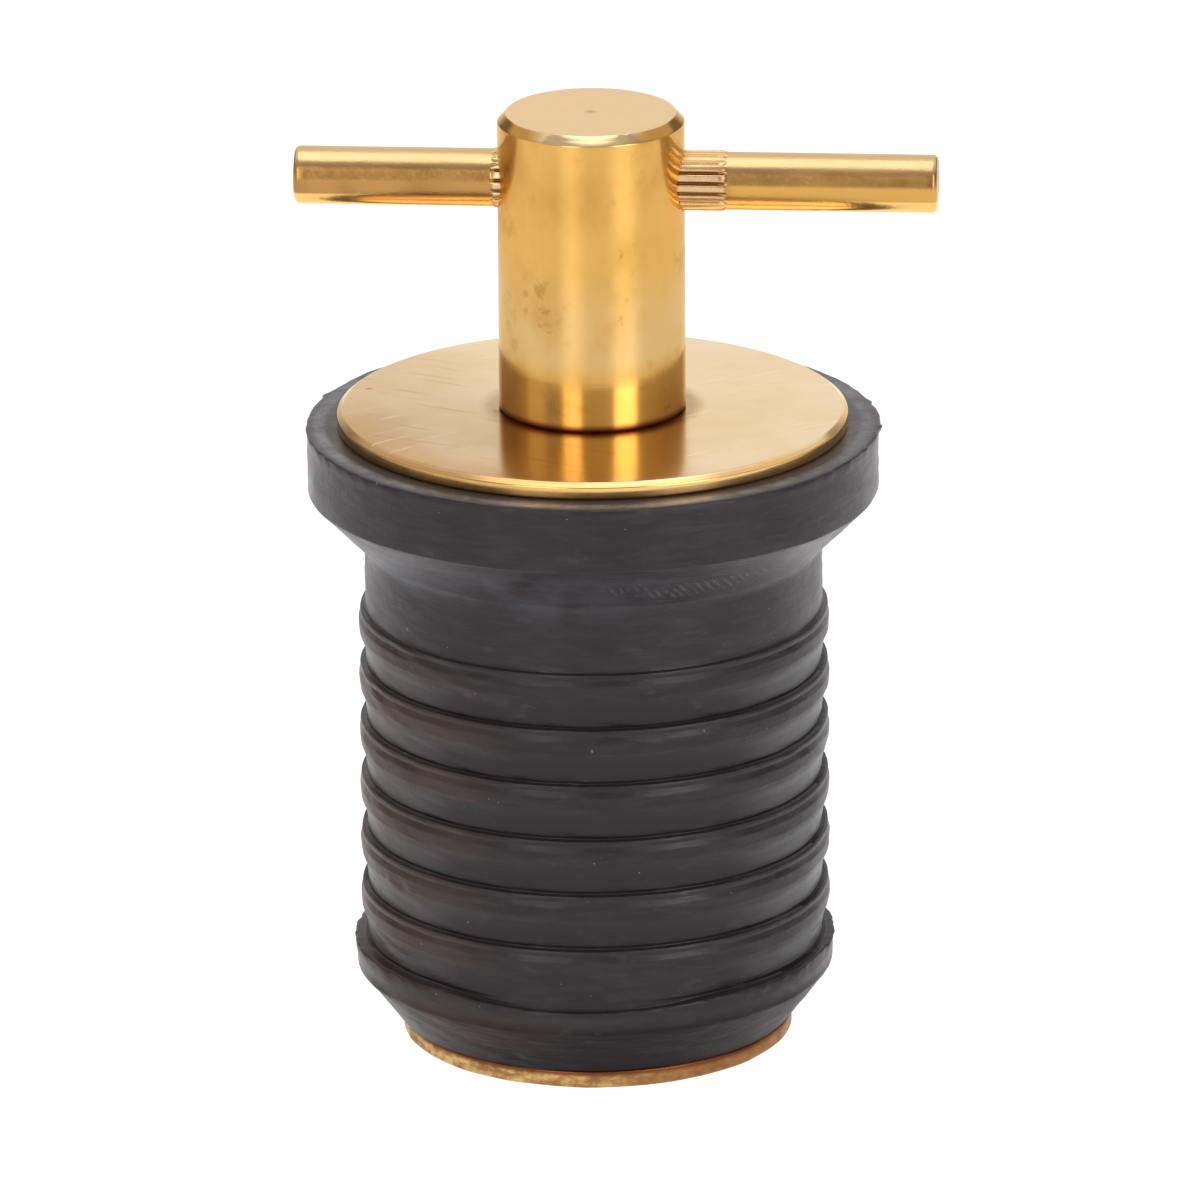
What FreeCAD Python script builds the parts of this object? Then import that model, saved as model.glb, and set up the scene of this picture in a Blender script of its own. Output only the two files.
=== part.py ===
# Expanding drain plug for a boat: a brass T-handle on a threaded stud squeezes a ribbed rubber sleeve
# between a washer above and a thin disc below, so that the sleeve swells in a 1 inch drain tube.
# Millimetres, +Z up. The origin is the centre of the disc's underside, on which the plug stands.
# The cross pin lies along X.
import FreeCAD, Part
import math
import os

from FreeCAD import Vector

# Bottom disc, stamped from brass sheet
disc_dia = 21.2
disc_thickness = 1.02
disc_rim_chamfer = 0.1

# Draw stud, 1/4 inch with 20 threads to the inch, its tail riveted into the disc
stud_dia = 6.35
stud_engagement = 5.8
stud_tip_chamfer = 0.6
tail_dia = 4.8
rivet_dia = 6.0
rivet_depth = 0.5

# Rubber sleeve: flange, 45 degree underside, neck, barbs, bottom lip and taper
sleeve_length = 33.4
flange_dia = 30.86
flange_wall = 3.5
flange_underside_angle = 45.0
neck_dia = 24.76
neck_length = 3.64
barb_count = 6
barb_pitch = 3.12
barb_root_dia = 24.24
barb_ledge_dia = 25.34
barb_crest_dia = 25.44
barb_undercut = 0.72
lip_dia = 25.8
lip_wall = 1.55
lip_round = 0.5
foot_dia = 21.4
sleeve_bore_clearance = 0.15

# Top washer, stamped from brass sheet, its upper edge rolled over by the punch
washer_dia = 27.62
washer_thickness = 1.04
washer_roll_width = 0.75
washer_roll_height = 0.45
washer_under_chamfer = 0.3
washer_bore_clearance = 0.1

# Handle body, turned from brass bar
handle_dia = 10.1
handle_length = 16.5
handle_top_chamfer = 0.48
handle_foot_chamfer = 0.12
tapped_depth = 8.7
tapped_clearance = 0.05
tapped_mouth_chamfer = 0.45
drill_point_angle = 118.0
dimple_dia = 0.6
dimple_depth = 0.2

# Cross pin, drawn brass rod with a straight knurl that grips in the handle
pin_dia = 3.14
pin_length = 34.7
pin_end_round = 0.3
pin_below_top = 3.75
pin_offset = 1.36
knurl_length = 12.9
knurl_from_pin_middle = -0.5
knurl_ridges = 17
knurl_crest_dia = 3.28
knurl_groove_dia = 3.04
knurl_bite = 0.03

# Straight steps that stand for each round edge, few enough to keep the parts light
round_steps = 2

# Levels, worked out from the sizes above
sleeve_bottom_z = disc_thickness
sleeve_top_z = sleeve_bottom_z + sleeve_length
washer_top_z = sleeve_top_z + washer_thickness
handle_top_z = washer_top_z + handle_length
stud_top_z = washer_top_z + stud_engagement
pin_z = handle_top_z - pin_below_top


def point(radius, height):
    """A point of a turned section, in the XZ plane."""
    return Vector(radius, 0, height)


def section_line(points):
    """Straight edges through the points of a turned section."""
    return [Part.makeLine(a, b) for a, b in zip(points[:-1], points[1:])]


def round_points(towards_start, corner, towards_end, leaving, meeting):
    """Points along a round edge that leaves one side of a corner and meets the other at its own distance."""
    start = corner + (towards_start - corner).normalize() * leaving
    end = corner + (towards_end - corner).normalize() * meeting
    curve = Part.BezierCurve()
    curve.setPoles([start, corner, end])
    return curve.toShape().discretize(Number=round_steps + 1)


def turned(edges, centre=Vector(0, 0, 0), axis=Vector(0, 0, 1)):
    """A solid turned about an axis from the closed section that the edges make in order."""
    face = Part.Face(Part.Wire(edges))
    return face.revolve(centre, axis, 360)


def tapered_plug(low_dia, high_dia, low_z, height):
    """A cone or cylinder about Z, used to cut holes."""
    if low_dia == high_dia:
        return Part.makeCylinder(low_dia / 2, height, point(0, low_z))
    return Part.makeCone(low_dia / 2, high_dia / 2, height, point(0, low_z))


def rivet_shape():
    """The stud's tail with its flared end, which fills the hole in the disc."""
    straight = tapered_plug(tail_dia, tail_dia, 0, disc_thickness)
    flare = tapered_plug(rivet_dia, tail_dia, 0, rivet_depth)
    return straight.fuse(flare)


def bottom_disc():
    """A flat disc with chamfered rims and a countersunk hole for the stud's tail."""
    outer = disc_dia / 2
    rim = disc_rim_chamfer
    edges = section_line([
        point(0, 0),
        point(outer - rim, 0),
        point(outer, rim),
        point(outer, disc_thickness - rim),
        point(outer - rim, disc_thickness),
        point(0, disc_thickness),
        point(0, 0),
    ])
    return turned(edges).cut(rivet_shape())


def draw_stud():
    """A straight rod from its shoulder on the disc to its tip inside the handle, with a riveted tail."""
    radius = stud_dia / 2
    tip = stud_tip_chamfer
    edges = section_line([
        point(0, disc_thickness),
        point(radius, disc_thickness),
        point(radius, stud_top_z - tip),
        point(radius - tip, stud_top_z),
        point(0, stud_top_z),
        point(0, disc_thickness),
    ])
    return turned(edges).fuse(rivet_shape()).removeSplitter()


def barb_edges(ledge_z):
    """One barb, downwards from its ledge: a steep wall to the crest, then undercut to the root."""
    return section_line([
        point(barb_ledge_dia / 2, ledge_z),
        point(barb_crest_dia / 2, ledge_z - barb_pitch + barb_undercut),
        point(barb_root_dia / 2, ledge_z - barb_pitch),
    ])


def rubber_sleeve():
    """The moulded sleeve, turned from its outer section, with a straight bore for the stud."""
    bore = stud_dia / 2 + sleeve_bore_clearance
    wall = flange_dia / 2
    neck = neck_dia / 2
    wall_low_z = sleeve_top_z - flange_wall
    neck_top_z = wall_low_z - (wall - neck) / math.tan(math.radians(flange_underside_angle))
    first_ledge_z = neck_top_z - neck_length
    lip_z = first_ledge_z - barb_count * barb_pitch
    lip_low_z = lip_z - lip_wall
    edges = section_line([
        point(bore, sleeve_top_z),
        point(wall, sleeve_top_z),
        point(wall, wall_low_z),
        point(neck, neck_top_z),
        point(neck, first_ledge_z),
        point(barb_ledge_dia / 2, first_ledge_z),
    ])
    for number in range(barb_count):
        ledge_z = first_ledge_z - number * barb_pitch
        edges += barb_edges(ledge_z)
        following_dia = barb_ledge_dia if number < barb_count - 1 else lip_dia
        low_z = ledge_z - barb_pitch
        edges += section_line([point(barb_root_dia / 2, low_z), point(following_dia / 2, low_z)])
    # The lip's lower edge is rounded where its wall meets the taper.
    lip_top = point(lip_dia / 2, lip_z)
    foot = point(foot_dia / 2, sleeve_bottom_z)
    lip_edge = round_points(lip_top, point(lip_dia / 2, lip_low_z), foot, lip_round, lip_round)
    edges += section_line([
        lip_top,
        *lip_edge,
        foot,
        point(bore, sleeve_bottom_z),
        point(bore, sleeve_top_z),
    ])
    return turned(edges)


def top_washer():
    """A wide flat washer with a rolled upper edge and a chamfer under it."""
    outer = washer_dia / 2
    bore = stud_dia / 2 + washer_bore_clearance
    under = washer_under_chamfer
    wall_foot = point(outer, sleeve_top_z + under)
    inner_edge = point(bore, washer_top_z)
    rim = point(outer, washer_top_z)
    top_edge = round_points(wall_foot, rim, inner_edge, washer_roll_height, washer_roll_width)
    edges = section_line([
        point(bore, sleeve_top_z),
        point(outer - under, sleeve_top_z),
        wall_foot,
        *top_edge,
        inner_edge,
        point(bore, sleeve_top_z),
    ])
    return turned(edges)


def along_pin(radius, start_x, length):
    """A cylinder on the cross pin's axis."""
    return Part.makeCylinder(radius, length, Vector(start_x, 0, pin_z), Vector(1, 0, 0))


def tapped_hole():
    """The blind hole for the stud: a countersunk mouth, a straight bore and the drill's point."""
    bore = stud_dia + 2 * tapped_clearance
    mouth = tapped_mouth_chamfer
    cone_height = bore / 2 / math.tan(math.radians(drill_point_angle / 2))
    straight = tapered_plug(bore, bore, washer_top_z, tapped_depth)
    drill_point = tapered_plug(bore, 0, washer_top_z + tapped_depth, cone_height)
    countersink = tapered_plug(bore + 2 * mouth, bore, washer_top_z, mouth)
    return straight.fuse([drill_point, countersink])


def handle_body():
    """A turned barrel with a chamfered top, a lathe centre in its face, and its two holes."""
    radius = handle_dia / 2
    top = handle_top_chamfer
    foot = handle_foot_chamfer
    edges = section_line([
        point(0, washer_top_z),
        point(radius - foot, washer_top_z),
        point(radius, washer_top_z + foot),
        point(radius, handle_top_z - top),
        point(radius - top, handle_top_z),
        point(dimple_dia / 2, handle_top_z),
        point(0, handle_top_z - dimple_depth),
        point(0, washer_top_z),
    ])
    cross_radius = knurl_crest_dia / 2 - knurl_bite
    cross_hole = along_pin(cross_radius, -handle_dia, 2 * handle_dia)
    return turned(edges).cut([tapped_hole(), cross_hole])


def knurled_band():
    """A prism with a ridge for each tooth of the straight knurl, its ends chamfered to the rod."""
    start_x = pin_offset + knurl_from_pin_middle - knurl_length / 2
    corners = []
    for step in range(2 * knurl_ridges):
        radius = (knurl_crest_dia if step % 2 == 0 else knurl_groove_dia) / 2
        angle = math.pi * step / knurl_ridges
        corners.append(Vector(start_x, radius * math.cos(angle), pin_z + radius * math.sin(angle)))
    section = Part.Face(Part.makePolygon(corners + corners[:1]))
    band = section.extrude(Vector(knurl_length, 0, 0))
    fade = (knurl_crest_dia - knurl_groove_dia) / 2
    low = knurl_groove_dia / 2
    tip = low + fade
    middle = along_pin(tip, start_x + fade, knurl_length - 2 * fade)
    axis = Vector(1, 0, 0)
    rise = Part.makeCone(low, tip, fade, Vector(start_x, 0, pin_z), axis)
    fall = Part.makeCone(tip, low, fade, Vector(start_x + knurl_length - fade, 0, pin_z), axis)
    return band.common(middle.fuse([rise, fall]))


def pin_end(end_x, knurl_x):
    """Section points of one half of the plain rod, from its end's centre to the knurl's groove."""
    surface_z = pin_z + pin_dia / 2
    centre = Vector(end_x, 0, pin_z)
    shoulder = Vector(knurl_x, 0, surface_z)
    corner = Vector(end_x, 0, surface_z)
    rounded = round_points(centre, corner, shoulder, pin_end_round, pin_end_round)
    return [centre, *rounded, shoulder, Vector(knurl_x, 0, pin_z + knurl_groove_dia / 2)]


def cross_pin():
    """A plain rod with rounded ends, knurled where it passes through the handle."""
    knurl_middle_x = pin_offset + knurl_from_pin_middle
    left = pin_end(pin_offset - pin_length / 2, knurl_middle_x - knurl_length / 2)
    right = pin_end(pin_offset + pin_length / 2, knurl_middle_x + knurl_length / 2)
    section = [*left, *reversed(right), left[0]]
    rod = turned(section_line(section), Vector(0, 0, pin_z), Vector(1, 0, 0))
    return rod.fuse(knurled_band()).removeSplitter()


pieces = {
    "bottom_disc": bottom_disc,
    "draw_stud": draw_stud,
    "rubber_sleeve": rubber_sleeve,
    "top_washer": top_washer,
    "handle_body": handle_body,
    "cross_pin": cross_pin,
}

os.makedirs("parts", exist_ok=True)
for name, make in pieces.items():
    shape = make()
    shape.exportStep(os.path.join("parts", name + ".step"))
    box = shape.BoundBox
    print(name, "solids", len(shape.Solids), "volume", round(shape.Volume, 2),
          "x", round(box.XMin, 2), round(box.XMax, 2), "z", round(box.ZMin, 2), round(box.ZMax, 2))
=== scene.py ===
# %% [markdown]
# # A brass and rubber drain plug
# The plug closes a 1 inch drain tube in a boat's transom. Turning the T-handle draws a threaded stud and
# the thin disc under it upwards, and the ribbed rubber sleeve between disc and washer swells in the tube.
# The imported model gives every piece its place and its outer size. This lesson builds the surface that one
# sees on each piece, then the finishes, the light and the camera.

import math

import bmesh
import bpy
import numpy as np
from mathutils import Euler, Matrix, Vector


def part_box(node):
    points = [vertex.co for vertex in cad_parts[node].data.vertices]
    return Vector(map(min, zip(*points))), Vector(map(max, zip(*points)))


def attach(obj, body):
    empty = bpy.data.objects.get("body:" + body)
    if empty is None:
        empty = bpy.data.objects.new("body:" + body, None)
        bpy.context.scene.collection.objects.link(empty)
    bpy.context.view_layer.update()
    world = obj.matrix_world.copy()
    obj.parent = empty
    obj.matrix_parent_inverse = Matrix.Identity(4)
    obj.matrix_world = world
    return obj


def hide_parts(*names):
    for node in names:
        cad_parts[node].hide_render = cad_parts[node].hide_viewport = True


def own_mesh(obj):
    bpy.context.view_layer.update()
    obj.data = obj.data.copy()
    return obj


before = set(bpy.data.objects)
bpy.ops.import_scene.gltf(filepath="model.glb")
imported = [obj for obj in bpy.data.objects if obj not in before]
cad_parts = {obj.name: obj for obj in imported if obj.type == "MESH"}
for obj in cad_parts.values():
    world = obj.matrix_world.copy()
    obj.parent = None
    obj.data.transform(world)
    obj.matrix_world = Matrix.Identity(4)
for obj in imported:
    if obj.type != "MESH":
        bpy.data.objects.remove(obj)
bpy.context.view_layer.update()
MM = 0.001
print("pieces of the frame:", sorted(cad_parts))

# %% [markdown]
# ## The camera
# A product photographer stands well back with a long lens, so the plug keeps its proportions. The camera
# looks down at 18 degrees and stands a little to the right of the cross pin's middle, which is why the
# pin's right end lies lower in the picture. The distance and the lens belong together: at 0.95 m, a lens
# of 525 mm gives about 18.4 pixels to a millimetre in a picture 1200 pixels wide.

# %% Place the camera
CAMERA_AZIMUTH = math.radians(4.2)
CAMERA_ELEVATION = math.radians(18.15)
CAMERA_ROLL = math.radians(0.35)
CAMERA_DISTANCE = 0.95
CAMERA_LENS = 525.5
PICTURE_MM_PER_PIXEL = 1 / 18.44
AXIS_LEFT_OF_MIDDLE = 6.3
AIM_HEIGHT = 24.35

# The columns of the turn are the camera's right, its up, and back from the plug to the lens.
level_turn = Euler((math.pi / 2 - CAMERA_ELEVATION, 0, CAMERA_AZIMUTH)).to_matrix()
camera_turn = level_turn @ Matrix.Rotation(-CAMERA_ROLL, 3, "Z")
aim = Vector((0, 0, AIM_HEIGHT)) + camera_turn.col[0] * AXIS_LEFT_OF_MIDDLE * PICTURE_MM_PER_PIXEL
camera_place = aim * MM + camera_turn.col[2] * CAMERA_DISTANCE
camera = bpy.data.objects.new("camera", bpy.data.cameras.new("camera"))
camera.data.lens = CAMERA_LENS
camera.data.sensor_width = 36
camera.data.clip_start = 0.05
camera.data.clip_end = 20
camera.matrix_world = Matrix.Translation(camera_place) @ camera_turn.to_4x4()
bpy.context.scene.collection.objects.link(camera)
bpy.context.scene.camera = camera
print("camera at", np.round(camera_place, 3))

# %% [markdown]
# ## Surfaces from sections
# Most of this plug was turned on a lathe or moulded in a turned mould, so most of its surfaces are a
# section carried round an axis. The section is a row of corners, and each corner has its own small round,
# because no real edge is perfectly sharp. The two parameters of the surface are the place along the
# section and the angle round the axis, so a whole piece is one grid of points.


# %% Section with rounded corners
def rounded_section(corners, rounds, step, arc_points=5):
    """Points along a section. Each corner C with a round R becomes the arc that touches both its sides:
    the rational quadratic ((1-t)^2 A + 2 w t (1-t) C + t^2 B) / ((1-t)^2 + 2 w t (1-t) + t^2), where A and
    B are the touching points and w is the cosine of half the turn. Straight runs are cut at every step."""
    corners = np.array(corners, float)
    points = [corners[0]]
    for before, corner, after, radius in zip(corners[:-2], corners[1:-1], corners[2:], rounds):
        inwards = (before - corner) / np.linalg.norm(before - corner)
        onwards = (after - corner) / np.linalg.norm(after - corner)
        half_turn = (math.pi - math.acos(np.clip(inwards @ onwards, -1, 1))) / 2
        reach = radius * math.tan(half_turn)
        t = np.linspace(0, 1, arc_points)[:, None] if radius > 0 else np.zeros((1, 1))
        weights = (1 - t) ** 2, 2 * math.cos(half_turn) * t * (1 - t), t ** 2
        pulls = corner + inwards * reach, corner, corner + onwards * reach
        arc = sum(weight * pull for weight, pull in zip(weights, pulls)) / sum(weights)
        points += straight_run(points[-1], arc[0], step) + list(arc)
    points += straight_run(points[-1], corners[-1], step) + [corners[-1]]
    return np.array(points)


def straight_run(start, end, step):
    """The points strictly between two ends, at most one step apart."""
    count = max(int(math.ceil(np.linalg.norm(end - start) / step)), 1)
    share = np.arange(1, count) / count
    return list(start + share[:, None] * (end - start))


# %% Turn a section into a grid of points
def turned_grid(section, columns):
    """Radius r and height z of the section carried round Z: x = r cos a, y = r sin a, and z stays."""
    angle = np.linspace(0, 2 * math.pi, columns, endpoint=False)
    radius = np.repeat(section[:, :1], columns, axis=1)
    height = np.repeat(section[:, 1:], columns, axis=1)
    return radius, np.broadcast_to(angle, radius.shape), height


def placed_round_z(radius, angle, height):
    """Points in millimetres from radius, angle and height grids."""
    return np.stack([radius * np.cos(angle), radius * np.sin(angle), height], axis=-1)


def ring_faces(number):
    """Four corners of every face between neighbouring rows of point numbers, each row a closed ring."""
    here, ahead = number, np.roll(number, -1, axis=1)
    return np.stack([here[:-1], ahead[:-1], ahead[1:], here[1:]], axis=-1).reshape(-1, 4)


def fan(ring, tip):
    """Triangles from a closed ring of point numbers to one point."""
    return np.stack([ring, np.roll(ring, -1), np.full(len(ring), tip)], axis=-1)


# %% Make a piece from points and faces
def make_piece(name, points, faces):
    """A mesh object in metres at the origin, closed, smooth, and with its faces turned outwards."""
    mesh = bpy.data.meshes.new(name)
    mesh.from_pydata((points * MM).tolist(), [], [face for group in faces for face in group.tolist()])
    shell = bmesh.new()
    shell.from_mesh(mesh)
    open_edges = sum(1 for edge in shell.edges if not edge.is_manifold)
    bmesh.ops.recalc_face_normals(shell, faces=shell.faces)
    shell.to_mesh(mesh)
    shell.free()
    mesh.polygons.foreach_set("use_smooth", np.ones(len(mesh.polygons), bool))
    mesh.update()
    piece = bpy.data.objects.new(name, mesh)
    bpy.context.scene.collection.objects.link(piece)
    print(name, len(mesh.vertices), "points", len(mesh.polygons), "faces", open_edges, "open edges")
    return piece


def closed_turned_piece(name, radius, angle, height, first_pole=None, last_pole=None, shape=None):
    """A turned grid as a piece. A pole is the height of the one point on the axis that closes an end;
    with no poles the last row is joined to the first, as on a ring or a tube. Shape moves the points."""
    rows, columns = radius.shape
    points = placed_round_z(radius, angle, height).reshape(-1, 3)
    number = np.arange(rows * columns).reshape(rows, columns)
    faces = [ring_faces(number)]
    if first_pole is None:
        faces.append(ring_faces(number[[-1, 0]]))
    else:
        points = np.vstack([points, [[0, 0, first_pole], [0, 0, last_pole]]])
        faces.append(fan(number[0], rows * columns))
        faces.append(fan(number[-1], rows * columns + 1))
    return make_piece(name, points if shape is None else shape(points), faces)


# %% [markdown]
# ## Unevenness
# Moulded rubber and worn brass are never perfect. A sum of waves round the axis, with random heights and
# phases from a fixed seed, gives an uneven line that closes on itself and is the same on every run.


# %% Uneven lines and bumps
def uneven(angle, lowest, highest, seed, falloff=0.5):
    """Sum of cos(k a + p) over whole numbers k, with random heights that fall as k to the power falloff,
    scaled so that its usual size is 1."""
    dice = np.random.default_rng(seed)
    waves = np.arange(lowest, highest + 1)
    sizes = dice.normal(size=len(waves)) / waves ** falloff
    phases = dice.uniform(0, 2 * math.pi, len(waves))
    total = np.zeros(np.shape(angle))
    for wave, size, phase in zip(waves, sizes, phases):
        total = total + size * np.cos(wave * angle + phase)
    return total / math.sqrt((sizes ** 2).sum() / 2)


def hump(distance, width):
    """A smooth bump exp(-(d/w)^2)."""
    return np.exp(-(distance / width) ** 2)


def apart(angle, centre):
    """Angle from a centre, brought between minus and plus half a turn."""
    return (angle - centre + math.pi) % (2 * math.pi) - math.pi


def facing(pixels_right, radius):
    """Angle round Z of a point in front that lies so many pixels right of the axis in the picture."""
    return CAMERA_AZIMUTH - math.pi / 2 + math.asin(pixels_right * PICTURE_MM_PER_PIXEL / radius)


# %% [markdown]
# ## Levels
# The frame says where every piece ends. Sizes inside a piece's outline, such as the barbs, are this
# scene's own, in millimetres, and here and there they are finer than the solid's. The disc isn't quite
# square to its stud: its front hangs lower, and the foot of the rubber leans with it.


# %% Read the levels from the frame
def extent(node):
    """Lowest and highest corner of a node, in millimetres."""
    low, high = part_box(node)
    return np.array(low) / MM, np.array(high) / MM


sleeve_low, sleeve_high = extent("rubber_sleeve")
washer_low, washer_high = extent("top_washer")
handle_low, handle_high = extent("handle_body")
pin_low, pin_high = extent("cross_pin")
disc_radius, _, disc_top = extent("bottom_disc")[1]
stud_top = extent("draw_stud")[1][2]
DISC_TILT = math.radians(0.85)
DISC_LOW_SIDE = math.radians(-97)
print("sleeve", np.round([sleeve_low[2], sleeve_high[2]], 2), "handle top", round(handle_high[2], 2))

# %% [markdown]
# ## The rubber sleeve
# The sleeve is one moulding: a flange that stops on the hull, a 45 degree underside, a smooth neck, six
# barbs that point upwards so that the plug stays in, and a lip with a taper that guides it into the tube.
# Where the mould's halves met there is a thin, torn fin of flash on the flange and on the lip. One
# section gives the form. The flash, the nibs and the slight waviness are added to the radius as a
# function of height and angle, so that they are real edges against the light.

# %% The sleeve's section
FLANGE_RADIUS = 15.43
FLANGE_WALL = 3.5
NECK_RADIUS = 12.38
NECK_LENGTH = 3.64
BARB_COUNT = 6
BARB_PITCH = 3.12
BARB_ROOT = 12.30
# Radius, drop below the ledge and round of each corner of a barb.
BARB_PROFILE = (
    (12.66, 0.0, 0.04), (12.68, 0.15, 0.06), (12.64, 0.32, 0.08), (12.75, 0.65, 0.3),
    (12.70, 1.30, 0.25), (12.42, 2.10, 0.9), (12.34, 2.80, 0.3),
)
LIP_RADIUS = 12.9
LIP_WALL = 1.55
FOOT_RADIUS = 10.7
SLEEVE_BORE = 3.325
SLEEVE_COLUMNS = 360

sleeve_top = sleeve_high[2]
sleeve_foot = sleeve_low[2]
flange_wall_foot = sleeve_top - FLANGE_WALL
neck_top = flange_wall_foot - (FLANGE_RADIUS - NECK_RADIUS)
first_ledge = neck_top - NECK_LENGTH
lip_top = first_ledge - BARB_COUNT * BARB_PITCH


def barb_corners(ledge):
    """Corners and rounds of one barb: a thin bead under its ledge, an upright band, and a cone that leads in
    to the next root."""
    corners = [(reach, ledge - drop) for reach, drop, _ in BARB_PROFILE]
    rounds = [round_size for _, _, round_size in BARB_PROFILE]
    return corners + [(BARB_ROOT, ledge - BARB_PITCH)], rounds + [0.06]


def sleeve_section():
    """The closed section from the bore's top, out over the flange and down to the bore's foot."""
    corners = [(SLEEVE_BORE, sleeve_top - 0.4), (SLEEVE_BORE, sleeve_top), (FLANGE_RADIUS, sleeve_top),
               (FLANGE_RADIUS, flange_wall_foot), (NECK_RADIUS, neck_top), (NECK_RADIUS, first_ledge)]
    rounds = [0.1, 0.1, 0.12, 0.9, 0.06]
    for number in range(BARB_COUNT):
        more_corners, more_rounds = barb_corners(first_ledge - number * BARB_PITCH)
        corners += more_corners
        rounds += more_rounds
    corners += [(LIP_RADIUS, lip_top), (LIP_RADIUS, lip_top - LIP_WALL), (FOOT_RADIUS, sleeve_foot),
                (SLEEVE_BORE, sleeve_foot), (SLEEVE_BORE, sleeve_foot + 0.4)]
    rounds += [0.12, 0.45, 0.2, 0.1]
    return rounded_section(corners, rounds, step=0.45, arc_points=4)


section = sleeve_section()
print("sleeve section has", len(section), "points")

# %% Flash, nibs and waviness on the sleeve
FLASH_OUT = 0.14
FLASH_HALF_THICKNESS = 0.11
FLASH_BELOW_EDGE = 0.12
SCAR_LEVEL = first_ledge - 4 * BARB_PITCH - 1.2
SCAR_DEPTH = 0.09
# Degrees to the right of the camera, reach, and half width in radians.
NIBS = ((-111, 0.22, 0.02), (88, 0.14, 0.02), (-74, 0.08, 0.03), (104, 0.1, 0.02), (-128, 0.1, 0.05))
radius, angle, height = turned_grid(section, SLEEVE_COLUMNS)


def flash_fin(level, seed):
    """A ragged fin round one level: its reach is an uneven line, kept between two limits."""
    reach = np.clip(0.5 + 0.3 * uneven(angle, 7, 110, seed, 0.5), 0.12, 1.0) * FLASH_OUT
    return reach * hump(height - level, FLASH_HALF_THICKNESS)


on_flange = radius > FLANGE_RADIUS - 0.2
on_lip = (radius > LIP_RADIUS - 0.2) & (height < lip_top + 0.05)
flange_flash = flash_fin(sleeve_top - FLASH_BELOW_EDGE, seed=3) * on_flange
lip_flash = flash_fin(lip_top - FLASH_BELOW_EDGE, seed=5) * on_lip
radius = radius + flange_flash + lip_flash
for from_camera, reach, width in NIBS:
    nib = hump(apart(angle, CAMERA_AZIMUTH - math.pi / 2 + math.radians(from_camera)), width)
    radius = radius + reach * nib * hump(height - sleeve_top + FLASH_BELOW_EDGE, 0.2) * on_flange
wavy = 0.02 * uneven(angle, 2, 7, seed=8) + 0.012 * uneven(angle + height * 0.3, 5, 30, seed=9)
skin = (radius > FOOT_RADIUS - 0.5) & (height < sleeve_top - 0.05)
radius = radius + np.where(skin, wavy, 0)
lip_nib = hump(apart(angle, facing(-235, LIP_RADIUS + 0.1)), 0.45)
radius = radius + lip_nib * (0.10 + 0.07 * hump(height - lip_top + 0.3, 0.5)) * on_lip
scar = hump(apart(angle, facing(-200, 12.7)), 0.13) * hump(height - SCAR_LEVEL, 0.28)
ragged = np.clip(0.8 + 0.6 * uneven(angle, 25, 100, seed=14), 0.1, 1.6)
radius = radius - SCAR_DEPTH * scar * ragged * (radius > BARB_ROOT - 0.1)

# %% Build the sleeve
LEAN_FROM = 26.0
LIP_SAG = 0.27
FOOT_LIFT = 0.16
CREPT_HALF_ANGLE = 0.42
CREPT_EDGE = 0.10


def leaned(points):
    """Points with the disc's lean, none of it at the level where the lean starts and all of it at the foot:
    each sinks by its distance towards the low side times the slope of the disc."""
    share = np.clip((LEAN_FROM - points[..., 2]) / LEAN_FROM, 0, 1)
    outwards = points[..., 0] * math.cos(DISC_LOW_SIDE) + points[..., 1] * math.sin(DISC_LOW_SIDE)
    up = FOOT_LIFT * share ** 4 - share * outwards * math.tan(DISC_TILT)
    return points + up[..., None] * np.array([0, 0, 1])


# In front, where the rubber has crept, the lip's upper edge hangs lower and the notch above it is filled.
in_front = apart(angle, facing(-20, LIP_RADIUS))
crept = 1 / (1 + np.exp((np.abs(in_front) - CREPT_HALF_ANGLE) / CREPT_EDGE))
in_notch = (radius > BARB_ROOT - 0.1) & (radius < LIP_RADIUS - 0.25)
in_notch &= np.abs(height - lip_top - 0.9) < 1.05
radius = np.where(in_notch, radius + crept * (LIP_RADIUS - 0.22 - radius), radius)
height = height - LIP_SAG * crept * hump(height - lip_top, 0.55) * (radius > BARB_ROOT - 0.1)
sleeve = closed_turned_piece("sleeve", radius, angle, height, shape=leaned)

# %% [markdown]
# ## The top washer
# The washer is a disc of brass sheet, tumbled until its edge is round and its face nearly a mirror. A flat
# ring would look drawn with a compass, so the face gets what the real one has: a slight dish towards its
# rim and a few shallow dents, all worked out as a height over the flat face.

# %% Build the washer
WASHER_BORE = 3.275
WASHER_COLUMNS = 288
washer_radius = washer_high[0]
washer_top = washer_high[2]
WASHER_ROLL_WIDTH = 0.32
WASHER_ROLL_HEIGHT = 0.24
DISH_FROM = 9.5
DISH_DEPTH = 0.10
# Place to the right and behind the middle, size and depth.
DENTS = ((-9.2, -4.6, 1.6, 0.02), (-6.6, -7.2, 2.2, 0.02), (8.5, -5.2, 2.0, 0.012), (2.0, 9.0, 2.5, 0.012),
         (-10.5, 1.5, 1.1, 0.015))
washer_corners = [
    (WASHER_BORE, washer_top - 0.5), (WASHER_BORE, washer_top),
    (washer_radius - WASHER_ROLL_WIDTH, washer_top), (washer_radius, washer_top - WASHER_ROLL_HEIGHT),
    (washer_radius, washer_low[2]), (WASHER_BORE, washer_low[2]), (WASHER_BORE, washer_low[2] + 0.4),
]
washer_section = rounded_section(washer_corners, [0.1, 0.2, 0.12, 0.2, 0.1], step=0.3, arc_points=9)
radius, angle, height = turned_grid(washer_section, WASHER_COLUMNS)
across, deep = radius * np.cos(angle), radius * np.sin(angle)
upper = np.clip((height - washer_low[2] - 0.5) / 0.4, 0, 1)
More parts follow.
